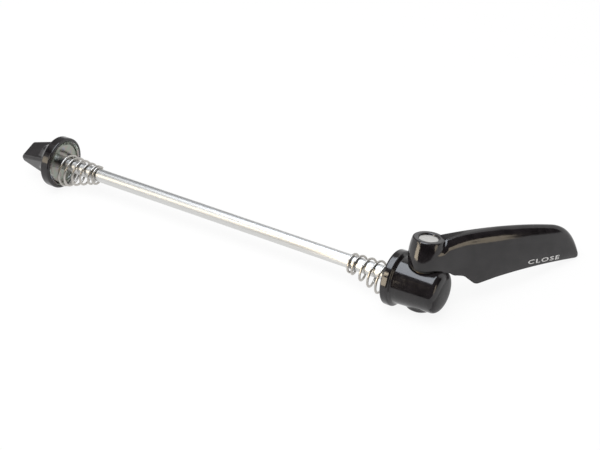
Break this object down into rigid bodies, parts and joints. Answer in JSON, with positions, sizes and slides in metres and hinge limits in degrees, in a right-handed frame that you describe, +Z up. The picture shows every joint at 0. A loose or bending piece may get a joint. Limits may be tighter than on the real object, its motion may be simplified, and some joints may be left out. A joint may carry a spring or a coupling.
{
  "type": "quick release skewer",
  "caption": "Wheel skewer with an internal cam lever and housing at one end, a steel rod with two cone springs, and a winged thumb nut with serrated faces.",
  "frame": {"origin": "on the rod's axis at the serrated clamping face of the housing", "axes": "+X along the rod from the nut towards the lever, +Z up as the skewer rests on a table on both flanges and the lever's tip"},
  "size_m": [0.2098, 0.0593, 0.0287],
  "materials": {
    "black_alloy": "gloss",
    "rod_steel": "polished",
    "grip_steel": "gloss",
    "cam_steel": "satin",
    "spring_steel": "gloss",
    "bush_brass": "satin",
    "seal_rubber": "matte",
    "lock_nylon": "matte"
  },
  "bodies": {
    "housing": {"cam_housing": "black_alloy", "housing_grip_ring": "grip_steel", "upper_cam_bush": "bush_brass", "lower_cam_bush": "bush_brass", "cam_seal": "seal_rubber", "cam_end_cap": "black_alloy", "lever_side_spring": "spring_steel"},
    "lever": {"lever": "black_alloy", "cam_shaft": "cam_steel", "cam_retaining_clip": "spring_steel"},
    "rod": {"skewer_rod": "rod_steel"},
    "nut_carrier": {"nut_side_spring": "spring_steel"},
    "nut": {"nut_body": "black_alloy", "nut_grip_insert": "grip_steel", "nut_lock_ring": "lock_nylon"}
  },
  "joints": [
    {"name": "lever_swing", "type": "hinge", "parent": "housing", "child": "lever", "pos_m": [0.0115, 0, 0], "axis": [0, 0.3176, 0.9482], "range_deg": [-142, 38]},
    {"name": "rod_draw", "type": "slide", "parent": "housing", "child": "rod", "axis": [1, 0, 0], "range_m": [-0.00142, 0.00038]},
    {"name": "nut_travel", "type": "slide", "parent": "rod", "child": "nut_carrier", "axis": [1, 0, 0], "range_m": [-0.0032, 0.0012]},
    {"name": "nut_turn", "type": "hinge", "parent": "nut_carrier", "child": "nut", "pos_m": [-0.1445, 0, 0], "axis": [1, 0, 0], "range_deg": [-1440, 540]}
  ],
  "couplings": [
    {"joint": "rod_draw", "follows": "lever_swing", "m_per_rad": 0.00057296},
    {"joint": "nut_travel", "follows": "nut_turn", "m_per_rad": 0.00012732}
  ]
}
